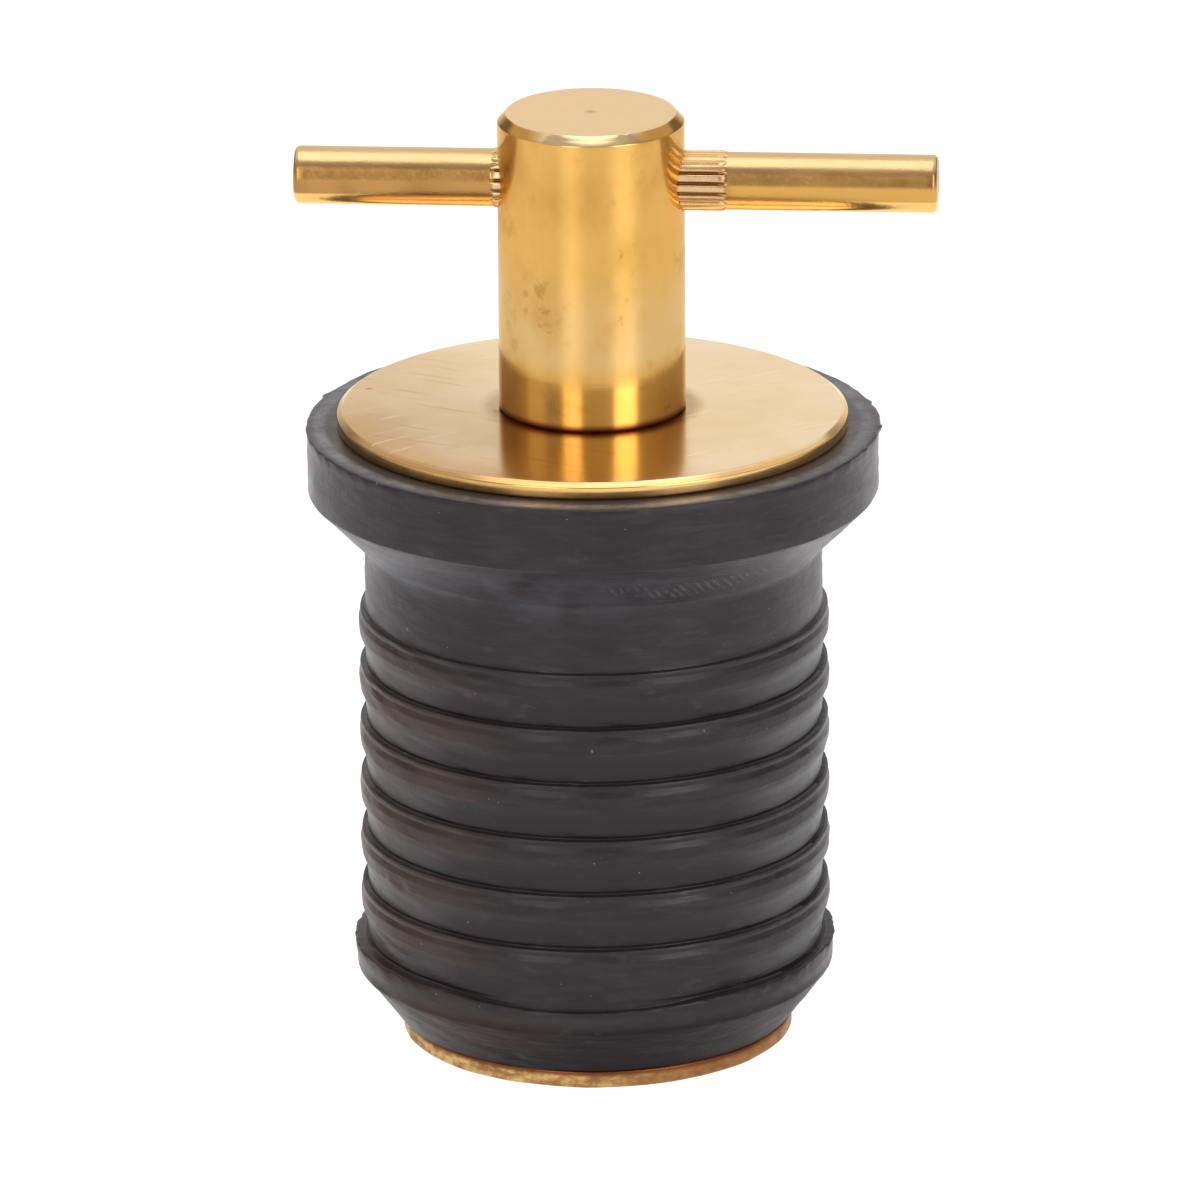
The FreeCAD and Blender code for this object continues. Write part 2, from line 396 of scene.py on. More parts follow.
dish = -DISH_DEPTH * np.clip((radius - DISH_FROM) / (washer_radius - DISH_FROM), 0, 1) ** 3
dent = sum(-depth * hump(np.hypot(across - x, deep - y), size) for x, y, size, depth in DENTS)
wavy = 0.006 * uneven(angle, 1, 4, seed=21) * (radius / washer_radius) ** 2
height = np.minimum(height + upper * (dish + dent + wavy), washer_top)
washer = closed_turned_piece("washer", radius, angle, height)

# %% [markdown]
# ## The bottom disc and the stud
# The disc is thinner brass, punched and only roughly cleaned, and sits a hair off the stud's axis. The
# stud's tail passes through the disc and is riveted over in a countersink. The stud is hidden in the rubber
# and still gets its thread, because the model can be taken apart: its radius falls and rises with
# (height / pitch - angle / turn).

# %% Build the disc
DISC_SHIFT = 0.09
RIVET_RADIUS = 3.0
TAIL_RADIUS = 2.4


def shifted_and_leaned(points):
    """Points moved a little to the right, then leaned as the sleeve's foot is."""
    return leaned(points + np.array([DISC_SHIFT, 0, 0]))


disc_corners = [(TAIL_RADIUS, 0.6), (TAIL_RADIUS, disc_top), (disc_radius, disc_top), (disc_radius, 0),
                (RIVET_RADIUS, 0), (TAIL_RADIUS, 0.5)]
disc_section = rounded_section(disc_corners, [0.02, 0.16, 0.22, 0.03], step=0.35)
radius, angle, height = turned_grid(disc_section, 256)
rim = np.clip((radius - disc_radius + 1.0), 0, 1)
radius = radius + rim * (0.012 * uneven(angle, 3, 40, seed=31) - 0.02)
height = height + rim * 0.012 * uneven(angle, 2, 24, seed=33)
disc = closed_turned_piece("disc", radius, angle, height, shape=shifted_and_leaned)

# %% Build the stud with its thread
STUD_RADIUS = 3.175
THREAD_PITCH = 1.27
THREAD_DEPTH = 0.62
THREAD_ROWS_PER_TURN = 12
stud_corners = [
    (0.3, 0.02), (RIVET_RADIUS - 0.02, 0.02), (TAIL_RADIUS - 0.02, 0.5), (TAIL_RADIUS - 0.02, disc_top),
    (STUD_RADIUS, disc_top), (STUD_RADIUS, stud_top - 0.6), (STUD_RADIUS - 0.6, stud_top),
    (0.3, stud_top),
]
stud_rounds = [0.05, 0.02, 0.02, 0.05, 0.05, 0.05]
stud_section = rounded_section(stud_corners, stud_rounds, step=THREAD_PITCH / THREAD_ROWS_PER_TURN)
radius, angle, height = turned_grid(stud_section, 72)
phase = (height / THREAD_PITCH - angle / (2 * math.pi)) % 1.0
groove = np.clip(1.15 - 2.3 * np.abs(phase - 0.5), 0, 1)
threaded = np.clip((height - disc_top - 1.0) / 0.6, 0, 1) * (radius > TAIL_RADIUS)
thread_root = np.minimum(radius, STUD_RADIUS - THREAD_DEPTH)
radius = np.maximum(radius - THREAD_DEPTH * groove * threaded, thread_root)
stud = closed_turned_piece("stud", radius, angle, height, 0.02, stud_top)

# %% [markdown]
# ## The handle's body
# The body is brass bar, turned, faced and chamfered, then cross drilled for the pin. A boolean cut would
# leave long thin triangles that show in a mirror finish. So the barrel is a grid with a window left out at
# each side, and each window is filled by a patch of rings that run from the round hole to the square
# window, all on the barrel's own surface: x = sqrt(R^2 - y^2).

# %% Section of the handle's body
HANDLE_COLUMNS = 288
HOLE_RADIUS = 1.6
WINDOW_HALF_HEIGHT = 2.5
WINDOW_HALF_COLUMNS = 24
TOP_CHAMFER = 0.48
FOOT_CHAMFER = 0.12
TAPPED_RADIUS = 3.2
TAPPED_DEPTH = 8.7
TAPPED_CHAMFER = 0.45
DRILL_POINT = 1.92
handle_radius = handle_high[0]
handle_top = handle_high[2]
handle_foot = handle_low[2]
pin_height = (pin_low[2] + pin_high[2]) / 2
window_top = pin_height + WINDOW_HALF_HEIGHT
window_foot = pin_height - WINDOW_HALF_HEIGHT
upper_corners = [
    (0.05, handle_top - 0.035), (0.22, handle_top), (handle_radius - TOP_CHAMFER, handle_top),
    (handle_radius, handle_top - TOP_CHAMFER), (handle_radius, window_top),
]
lower_corners = [
    (handle_radius, window_foot), (handle_radius, handle_foot + FOOT_CHAMFER),
    (handle_radius - FOOT_CHAMFER, handle_foot), (TAPPED_RADIUS + TAPPED_CHAMFER, handle_foot),
    (TAPPED_RADIUS, handle_foot + TAPPED_CHAMFER), (TAPPED_RADIUS, handle_foot + TAPPED_DEPTH),
    (0.1, handle_foot + TAPPED_DEPTH + DRILL_POINT - 0.06),
]
upper_section = rounded_section(upper_corners, [0.1, 0.08, 0.1], step=0.25)
lower_section = rounded_section(lower_corners, [0.03, 0.06, 0.03, 0.03, 0.05], step=0.25)
window_rows = 2 * int(round(WINDOW_HALF_HEIGHT / 0.25)) - 1
middle_heights = np.linspace(window_top, window_foot, window_rows + 2)[1:-1]
middle_section = np.stack([np.full(window_rows, handle_radius), middle_heights], axis=-1)
handle_section = np.vstack([upper_section, middle_section, lower_section])
print("handle section has", len(handle_section), "points")

# %% Barrel with two windows
rows, columns = len(handle_section), HANDLE_COLUMNS
radius, angle, height = turned_grid(handle_section, columns)
# Pixels to the right of the axis, depth, and half width in radians.
NICKS = ((-53, 0.02, 0.05), (36, 0.02, 0.04), (-66, 0.03, 0.06))
on_chamfer = hump(np.hypot(radius - handle_radius + TOP_CHAMFER * 0.8, height - handle_top + 0.1), 0.35)
for pixels, depth, width in NICKS:
    cut = depth * hump(apart(angle, facing(pixels, handle_radius)), width) * on_chamfer
    radius, height = radius - cut * 0.5, height - cut
points = placed_round_z(radius, angle, height).reshape(-1, 3)
number = np.arange(rows * columns).reshape(rows, columns)
top_row = len(upper_section) - 1
foot_row = top_row + window_rows + 1
quads = ring_faces(number).reshape(rows - 1, columns, 4)
in_window = np.zeros((rows - 1, columns), bool)
for middle_column in (0, columns // 2):
    window_columns = (middle_column + np.arange(-WINDOW_HALF_COLUMNS, WINDOW_HALF_COLUMNS)) % columns
    in_window[top_row:foot_row, window_columns] = True
barrel_faces = quads[~in_window]

# %% Patches round the cross holes, and the hole's wall
PATCH_RINGS = 12


def window_border(middle_column):
    """Numbers of the points round a window, in order: along the top, down, back along the foot and up."""
    across_window = (middle_column + np.arange(-WINDOW_HALF_COLUMNS, WINDOW_HALF_COLUMNS + 1)) % columns
    window = number[top_row:foot_row + 1, across_window]
    return np.concatenate([window[0, :-1], window[:-1, -1], window[-1, :0:-1], window[:0:-1, 0]])


def hole_patch(border_points, side):
    """Rings from the border to the hole: y and z slide straight towards the hole's circle, and x stays on
    the barrel, x = side * sqrt(R^2 - y^2)."""
    y, z = border_points[:, 1], border_points[:, 2] - pin_height
    length = np.hypot(y, z)
    share = (np.arange(1, PATCH_RINGS + 1) / PATCH_RINGS)[:, None] ** 0.8
    ring_y = y + (y * HOLE_RADIUS / length - y) * share
    ring_z = z + (z * HOLE_RADIUS / length - z) * share
    ring_x = side * np.sqrt(handle_radius ** 2 - ring_y ** 2)
    return np.stack([ring_x, ring_y, ring_z + pin_height], axis=-1)


faces = [barrel_faces]
mouths = []
for middle_column, side in ((0, 1.0), (columns // 2, -1.0)):
    border = window_border(middle_column)
    rings = hole_patch(points[border], side)
    ring_numbers = len(points) + np.arange(rings.shape[0] * rings.shape[1]).reshape(rings.shape[:2])
    points = np.vstack([points, rings.reshape(-1, 3)])
    faces.append(ring_faces(np.vstack([border[None, :], ring_numbers])))
    mouths.append(ring_numbers[-1])
# The window at minus X runs the other way round in Y, so its mouth is matched to the first by direction.
first, second = points[mouths[0]], points[mouths[1]]
gaps = first[:, None, 1:] - second[None, :, 1:]
nearest = np.argmin((gaps ** 2).sum(axis=-1), axis=1)
share = np.linspace(0, 1, 10)[1:-1, None, None]
wall = first + (second[nearest] - first) * share
wall_numbers = len(points) + np.arange(wall.shape[0] * wall.shape[1]).reshape(wall.shape[:2])
points = np.vstack([points, wall.reshape(-1, 3)])
faces.append(ring_faces(np.vstack([mouths[0][None, :], wall_numbers, mouths[1][nearest][None, :]])))
poles = np.array([[0, 0, handle_section[0, 1]], [0, 0, handle_foot + TAPPED_DEPTH + DRILL_POINT]])
faces += [fan(number[0], len(points)), fan(number[-1], len(points) + 1)]
points = np.vstack([points, poles])
handle = make_piece("handle", points, faces)

# %% [markdown]
# ## The cross pin
# The pin is drawn brass rod, cut off and lightly tumbled. A straight knurl grips it in the body, and a
# little of the knurl stands out at each side. The ridges are real, with flat tops and narrow grooves: at
# the angle a, a ridge has 1 - ((1 - cos(n a)) / 2)^4 of its height, for n ridges. They fade out over a
# short run at each end, as a knurling tool leaves them.

# %% Build the cross pin
PIN_RADIUS = 1.57
PIN_END_ROUND = 0.3
KNURL_LEFT = -5.25
KNURL_RIGHT = 7.31
KNURL_FADE = 0.12
KNURL_RIDGES = 17
KNURL_START = math.radians(181)
KNURL_DEPTH = 0.17
KNURL_SUNK = 0.10
PIN_COLUMNS = 272
fade_places = [edge + side * KNURL_FADE for edge in (KNURL_LEFT, KNURL_RIGHT) for side in (-1, 0, 1)]
pin_corners = [(0.1, pin_low[0]), (PIN_RADIUS, pin_low[0])]
pin_corners += [(PIN_RADIUS, place) for place in fade_places]
pin_corners += [(PIN_RADIUS, pin_high[0]), (0.1, pin_high[0])]
pin_rounds = [PIN_END_ROUND] + [0] * len(fade_places) + [PIN_END_ROUND]
pin_section = rounded_section(pin_corners, pin_rounds, step=0.3, arc_points=7)
radius, angle, along = turned_grid(pin_section, PIN_COLUMNS)
knurled = np.clip(np.minimum(along - KNURL_LEFT, KNURL_RIGHT - along) / KNURL_FADE, 0, 1)
ridge = 1 - (0.5 - 0.5 * np.cos(KNURL_RIDGES * (angle - KNURL_START))) ** 4
radius = radius + knurled * (KNURL_DEPTH * ridge - KNURL_SUNK)
burr = hump(along - pin_low[0], 0.25) + hump(along - pin_high[0], 0.25)
radius = radius * (1 + 0.006 * burr * uneven(angle, 2, 12, seed=41))


def laid_down(points):
    """Points turned round Z, laid down along X at the pin's height."""
    return points[:, [2, 0, 1]] + np.array([0, 0, pin_height])


pin = closed_turned_piece("pin", radius, angle, along, pin_low[0], pin_high[0], shape=laid_down)

# %% [markdown]
# ## Finishes
# Each finish is a tree of nodes on its piece's own coordinates. The patterns are noises, in metres. The
# masks are smooth steps, in millimetres: in height, in distance from the axis or in a direction. A finish
# starts with one colour, and each mask then tints it with a colour from the finish's palette.


# %% A tree of nodes
class Tree:
    """A node tree. A value handed to it is a number, a colour, or the socket of another node."""

    def __init__(self, tree):
        self.nodes = tree.nodes
        self.links = tree.links
        self.nodes.clear()

    def fill(self, node, values):
        """Sets the node's inputs, by name or number, and links those whose value is a socket."""
        for name, value in values.items():
            if isinstance(value, bpy.types.NodeSocket):
                self.links.new(value, node.inputs[name])
            else:
                node.inputs[name].default_value = value
        return node

    def maths(self, operation, *values, clamp=False):
        """One operation, such as a difference, on one value or two."""
        node = self.nodes.new("ShaderNodeMath")
        node.operation = operation
        node.use_clamp = clamp
        return self.fill(node, dict(enumerate(values))).outputs[0]

    def product(self, result, *others):
        """The product of two or more values."""
        for other in others:
            result = self.maths("MULTIPLY", result, other)
        return result

    def total(self, result, *others):
        """The sum of two or more values."""
        for other in others:
            result = self.maths("ADD", result, other)
        return result

    def between(self, value, low, high, to_low=0.0, to_high=1.0):
        """Maps low..high smoothly to to_low..to_high. Beyond them the result stays at the nearer end."""
        node = self.nodes.new("ShaderNodeMapRange")
        node.interpolation_type = "SMOOTHSTEP"
        self.fill(node, {"Value": value, "From Min": low, "From Max": high})
        return self.fill(node, {"To Min": to_low, "To Max": to_high}).outputs["Result"]

    def mask(self, *steps):
        """Product of masks, each a value or a smooth step: its value, low and high, and perhaps its ends."""
        return self.product(*[self.between(*step) if isinstance(step, tuple) else step for step in steps])

    def blended(self, mask, first, second):
        """Colour that goes from first to second as the mask goes from 0 to 1."""
        node = self.nodes.new("ShaderNodeMix")
        node.data_type = "RGBA"
        return self.fill(node, {0: mask, 6: first, 7: second}).outputs[2]

    def blended_value(self, mask, first, second):
        """Number that goes from first to second as the mask goes from 0 to 1."""
        return self.fill(self.nodes.new("ShaderNodeMix"), {0: mask, 2: first, 3: second}).outputs[0]


# %% A material, and a finish on a piece's own coordinates
class Material(Tree):
    """A material with one shader on its surface."""

    def __init__(self, name):
        self.material = bpy.data.materials.new(name)
        self.material.use_nodes = True
        super().__init__(self.material.node_tree)
        self.shader = self.nodes.new("ShaderNodeBsdfPrincipled")
        self.output = self.nodes.new("ShaderNodeOutputMaterial")
        self.fill(self.output, {"Surface": self.shader.outputs["BSDF"]})

    def join(self, share, second):
        """Mixes a second shader with the first: none of it at share 0, nothing but it at 1."""
        both = self.nodes.new("ShaderNodeMixShader")
        self.fill(both, {0: self.mask(share), 1: self.shader.outputs[0], 2: second.outputs[0]})
        self.fill(self.output, {"Surface": both.outputs[0]})


class Finish(Material):
    """A material with its piece's coordinates, place in metres and x, y and z in millimetres, and with a
    palette, whose colours are called by their names."""

    def __init__(self, name, palette):
        super().__init__(name)
        self.palette = palette
        self.place = self.nodes.new("ShaderNodeTexCoord").outputs["Object"]
        parts = self.fill(self.nodes.new("ShaderNodeSeparateXYZ"), {0: self.place})
        self.x, self.y, self.z = [self.maths("DIVIDE", part, MM) for part in parts.outputs]

    def blended(self, mask, *colours):
        """Colour from first to second, each of them a name in the palette or a socket."""
        pair = [(*self.palette[name], 1) if isinstance(name, str) else name for name in colours]
        return super().blended(self.mask(mask), *pair)

    def tint(self, colour, *steps):
        """Brings in a colour where all the masks are 1, or less of it if one of them is a number."""
        self.colour = self.blended(self.mask(*steps), self.colour, colour)

    def noise(self, scale, detail=4.0, roughness=0.55, stretch=None, degrees=0.0, distortion=0.0):
        """Cloudy noise from 0 to 1, about 0.5. Stretch scales each axis first, to draw the pattern out, and
        the axes may be turned round Z by some degrees."""
        place = self.place
        if stretch is not None:
            mapping = self.nodes.new("ShaderNodeMapping")
            mapping.vector_type = "TEXTURE"
            turn = (0, 0, math.radians(degrees))
            self.fill(mapping, {"Vector": place, "Rotation": turn, "Scale": [1 / share for share in stretch]})
            place = mapping.outputs["Vector"]
        node = self.fill(self.nodes.new("ShaderNodeTexNoise"), {"Vector": place, "Scale": scale})
        self.fill(node, {"Detail": detail, "Roughness": roughness, "Distortion": distortion})
        return node.outputs["Fac"]

    def distance(self, across, along):
        """Distance from an axis, the root of the sum of two squares."""
        return self.maths("SQRT", self.total(self.product(across, across), self.product(along, along)))

    def ahead(self, heading):
        """How far a point lies in a direction a: x cos a + y sin a."""
        return self.total(self.product(self.x, math.cos(heading)), self.product(self.y, math.sin(heading)))

    def towards(self, degrees_right):
        """How far a point lies in a direction so many degrees to the right of the camera's."""
        return self.ahead(CAMERA_AZIMUTH - math.pi / 2 + math.radians(degrees_right))

    def level_with_lean(self):
        """Height with the lean of the disc taken out, so that a mask can follow the leaning foot."""
        lean = self.product(self.ahead(DISC_LOW_SIDE), math.tan(DISC_TILT))
        return self.maths("SUBTRACT", self.total(self.z, lean), FOOT_LIFT)

    def patch(self, level, half_height, degrees_right, from_reach, full_reach):
        """Mask of a patch near one level, on the side that faces one direction."""
        off_level = self.maths("ABSOLUTE", self.maths("SUBTRACT", self.z, level))
        side = self.between(self.towards(degrees_right), from_reach, full_reach)
        return self.product(self.between(off_level, half_height, 0.4 * half_height), side)

    def spot(self, x, y, size):
        """Mask of a small round spot on a flat face."""
        away = self.distance(self.maths("SUBTRACT", self.x, x), self.maths("SUBTRACT", self.y, y))
        return self.between(away, size, 0.5 * size)

    def bumped(self, height, strength, distance):
        """A bump from a height value; distance is its full height in metres."""
        node = self.nodes.new("ShaderNodeBump")
        self.fill(node, {"Strength": strength, "Distance": distance, "Height": height})
        return node.outputs["Normal"]

    def coat(self, shader, roughness, normal):
        """Gives a shader the finish's colour, a roughness and a bump."""
        values = {"Base Color": self.colour, "Roughness": self.mask(roughness), "Normal": normal}
        return self.fill(shader, values)


# %% [markdown]
# ## The rubber's finish
# The rubber is black with a brown tint. Chalk on its top shows only outside the washer and also paints the
# light on this upward face, and along the washer's edge a painted shadow lies, browned as a painted
# reflection of the brass. A bluish painted reflection of the white floor lies under the flange, and its left
# side has brown stains. The barbs' recesses are painted lighter towards both sides, as light from the sides
# would light them, but not in the groove under each ledge, and the taper is painted darker, as the shade
# under the plug. The taper, the grooves and, less so, the barbs are duller than the rest, so a second shader
# with a lower index takes over there.

# %% Rubber's palette
RUBBER_IOR = 1.41
DULL_IOR = 1.18
RUBBER_COLOURS = {
    "dark": (0.0095, 0.0050, 0.0063), "light": (0.0185, 0.0115, 0.0132),
    # Painted shade: the taper's colour, darker as the shade under the plug.
    "taper": (0.0090, 0.0055, 0.0066), "recess": (0.0115, 0.0072, 0.0083),
    # Painted light: the pale recess colour; painted reflection: the bluish colour under the flange; the chalk
    # also paints light.
    "painted recess light": (0.075, 0.072, 0.076), "painted floor reflection": (0.046, 0.050, 0.065), "chalk and painted light": (0.148, 0.146, 0.158),
    # Painted shadow: the brown along the washer's edge.
    "painted washer shadow": (0.026, 0.012, 0.005), "scuffs": (0.040, 0.040, 0.048),
    "left side": (0.030, 0.009, 0.005), "stain": (0.060, 0.028, 0.015),
    "hatching": (0.075, 0.075, 0.082), "scar": (0.010, 0.006, 0.005), "dust": (0.20, 0.19, 0.19),
}


# %% Rubber: barbs and flange
def tint_barbs(rubber, out):
    """Tints the taper darker, as painted shade under the plug, and the barbs' recesses lighter towards both
    sides, as painted light, except in the groove under each ledge. Returns the masks of the taper, the barbs,
    the rubber's two sides and the grooves."""
    z = rubber.z
    taper = rubber.between(rubber.level_with_lean(), lip_top - 0.9, lip_top - LIP_WALL - 0.3)
    # Painted shade: the taper is tinted darker, as the shade under the plug.
    rubber.tint("taper", taper)
    barbs = rubber.mask((z, first_ledge + 0.1, first_ledge - 0.3), (z, lip_top - 0.9, lip_top - 0.5))
    recess = rubber.mask((out, 12.64, 12.48), barbs)
    sides = rubber.between(rubber.maths("ABSOLUTE", rubber.towards(90)), 7.0, 12.2)
    pitches_down = rubber.maths("DIVIDE", rubber.maths("SUBTRACT", first_ledge, z), BARB_PITCH)
    groove = rubber.mask(recess, (rubber.maths("FRACT", pitches_down), 0.935, 0.975))
    # Painted light: the share of the lighter recess colour, full at both sides and none in the groove under
    # each ledge.
    painted_light_share = rubber.maths("SUBTRACT", sides, groove, clamp=True)
    rubber.tint(rubber.blended(painted_light_share, "recess", "painted recess light"), recess)
    return taper, barbs, sides, groove


def tint_flange(rubber, out, cloud):
    """Tints a bluish painted reflection of the floor under the flange, the chalk on top of it, which also
    paints the light on this upward face, and a brown painted shadow along the washer.
    """
    z = rubber.z
    # Painted reflection: a bluish, mottled tint under the flange for the white floor's reflection.
    rubber.tint("painted floor reflection", (z, neck_top - 1.4, neck_top + 0.3), (z, flange_wall_foot + 0.2, neck_top + 1.9),
                (rubber.towards(-28), 7.5, 12.0, 0.05, 1.0), (cloud, 0.36, 0.6), 0.5)
    on_top = rubber.between(z, sleeve_top - 0.25, sleeve_top - 0.05)
    powder = rubber.noise(800, 6, 0.7)
    # Chalk that also paints the light on the flange's top: less of it to the right, and none next to the
    # washer, where its shadow is painted.
    rubber.tint("chalk and painted light", on_top, (powder, 0.36, 0.64, 0.25, 1.0), (rubber.towards(90), 8.0, 14.0, 1.0, 0.65),
                (out, 14.3, 14.7), (out, 15.4, 14.9))
    # Painted shadow: a brown band on the rubber along the washer's edge, its brown a painted reflection of
    # the brass.
    rubber.tint("painted washer shadow", (out, 14.4, 14.2), on_top)


# %% Rubber: wear, and the whole finish
def tint_wear(rubber, out, barbs, cloud, fine):
    """Tints scuffs, brown stains at the left, a patch of slanted hatching, whose mask it returns, the dirt
    in a scar, and dust."""
    scuffs = rubber.noise(620, 6, 0.7, stretch=(0.6, 0.6, 1.6), degrees=20)
    rubber.tint("scuffs", (scuffs, 0.56, 0.72, 0.0, 0.5))
    rubber.tint("left side", barbs, (rubber.towards(-88), 8.5, 12.0), 0.6)
    on_beads = rubber.mask(rubber.patch(14.0, 12.0, -66, 8.5, 12.0), (out, 12.54, 12.64), barbs)
    on_foot = rubber.patch(lip_top - LIP_WALL - 0.6, 1.6, -48, 8.5, 11.8)
    wide = rubber.noise(90, 3)
    rubber.tint("stain", rubber.maths("MAXIMUM", on_beads, on_foot), (wide, 0.4, 0.6, 0.5, 1.0), 0.5)
    slant = rubber.total(rubber.x, rubber.product(rubber.z, 0.5), cloud)
    lines = rubber.maths("SINE", rubber.product(slant, 14.0))
    hatching = rubber.mask(rubber.patch(28.9, 0.9, 22, 12.8, 13.2), (fine, 0.38, 0.58), (lines, -0.2, 1.0))
    rubber.tint("hatching", hatching, 0.4)
    rubber.tint("scar", rubber.patch(SCAR_LEVEL - 0.1, 0.5, -59, 12.25, 12.5), (cloud, 0.40, 0.52), 0.8)
    rubber.tint("dust", (rubber.noise(3200, 0), 0.87, 0.89), 0.45)
    return hatching


def rubber_finish():
    """Streaky black rubber, tinted part by part, with a sheen and a dull second shader."""
    rubber = Finish("rubber", RUBBER_COLOURS)
    out = rubber.distance(rubber.x, rubber.y)
    cloud = rubber.noise(260, 6, 0.6)
    fine = rubber.noise(1500)
    streaks = rubber.noise(420, 5, stretch=(1, 1, 5))
    rubber.colour = rubber.blended((streaks, 0.35, 0.68), "dark", "light")
    taper, barbs, sides, groove = tint_barbs(rubber, out)
    tint_flange(rubber, out, cloud)
    hatching = tint_wear(rubber, out, barbs, cloud, fine)
    relief = rubber.total(rubber.product(streaks, 0.7), rubber.product(fine, 0.3))
    normal = rubber.bumped(rubber.total(relief, rubber.product(hatching, 0.3)), 0.5, 0.00014)
    dull = rubber.nodes.new("ShaderNodeBsdfPrincipled")
    for shader, index in ((rubber.shader, RUBBER_IOR), (dull, DULL_IOR)):
        rubber.coat(shader, (cloud, 0.3, 0.7, 0.30, 0.42), normal)
        rubber.fill(shader, {"IOR": index})
    sheen = {"Sheen Weight": 0.16, "Sheen Roughness": 0.35, "Sheen Tint": (1.0, 0.90, 0.90, 1)}
    rubber.fill(rubber.shader, sheen)
    duller = rubber.maths("MAXIMUM", rubber.mask(barbs, (sides, 0, 1, 0.14, 0.48)), groove)
    rubber.join(rubber.maths("MAXIMUM", taper, duller), dull)
    return rubber.material


# %% [markdown]
# ## The brass finishes
# All brass here is one metal, whose reflection goes from golden to nearly white at a grazing angle. What
# differs is how each piece was made. A lathe leaves fine marks round the axis, which spread the light up
# and down the barrel and hardly sideways, so the turned finish mixes a clear and a smeared reflection. The
# rod was drawn, the washer tumbled, and the disc punched and barely cleaned.

# %% Brass palettes
METAL = {"Metallic": 1.0, "Specular Tint": (1.0, 0.93, 0.80, 1)}
SMEARED_SHARE = 0.56
TURNED_SPREAD = 0.53
TURNED_COLOURS = {
    "bar": (0.91, 0.54, 0.147), "tarnish": (0.74, 0.40, 0.093), "pale band": (0.89, 0.63, 0.29),
    "blots": (0.62, 0.31, 0.06), "specks": (0.42, 0.19, 0.04), "speckled": (0.50, 0.25, 0.05),
    # The pale chamfer colour is a painted highlight in front; the chamfer sides colour is darker.
    "left foot": (0.62, 0.27, 0.055), "chamfer": (0.95, 0.70, 0.38),
    "chamfer sides": (0.54, 0.27, 0.065), "face": (0.86, 0.58, 0.31),
    "face grain": (0.80, 0.57, 0.34), "dimple": (0.55, 0.34, 0.16), "foot": (0.22, 0.060, 0.018),
}
DRAWN_COLOURS = {
    "rod": (0.47, 0.255, 0.080), "clouds": (0.37, 0.190, 0.060), "shaded": (0.37, 0.200, 0.058),
    # The underside colour is a painted reflection of the floor.
    "rubbed": (0.63, 0.35, 0.090), "underside": (0.92, 0.57, 0.19), "ridges": (0.74, 0.50, 0.30),
    # The pale top colour is a painted highlight.
    "grooves": (0.22, 0.095, 0.030), "painted top highlight": (0.71, 0.48, 0.235),
}
POLISHED_COLOURS = {
    "sheet": (0.90, 0.71, 0.49), "clouds": (0.85, 0.62, 0.36), "brown side": (0.53, 0.345, 0.205),
    "rim": (0.60, 0.33, 0.11), "inner ring": (0.38, 0.19, 0.09), "pale hairs": (1.0, 0.88, 0.70),
    "dark hairs": (0.44, 0.26, 0.13), "rolled edge": (0.86, 0.51, 0.16),
    "left edge": (0.50, 0.29, 0.10), "pits": (0.28, 0.15, 0.08),
}
PUNCHED_COLOURS = {
    "tarnish": (0.30, 0.150, 0.056), "gold streaks": (0.68, 0.43, 0.165), "grain": (0.24, 0.13, 0.065),
    "right side": (0.25, 0.105, 0.036), "joint": (0.15, 0.042, 0.017),
}


def brass_finish(name, palette):
    """A finish whose shader is a metal with the brass's edge colour."""
    brass = Finish(name, palette)
    brass.fill(brass.shader, METAL)
    return brass


# %% Turned brass
def smeared_shader(brass, normal):
    """The second shader of turned brass, with the light spread along the axis."""
    shader = brass.coat(brass.nodes.new("ShaderNodeBsdfPrincipled"), TURNED_SPREAD, normal)
    tangent = brass.nodes.new("ShaderNodeTangent")
    tangent.direction_type = "RADIAL"
    tangent.axis = "Z"
    smear = {"Anisotropic": 1.0, "Anisotropic Rotation": 0.25, "Tangent": tangent.outputs[0]}
    return brass.fill(shader, METAL | smear)


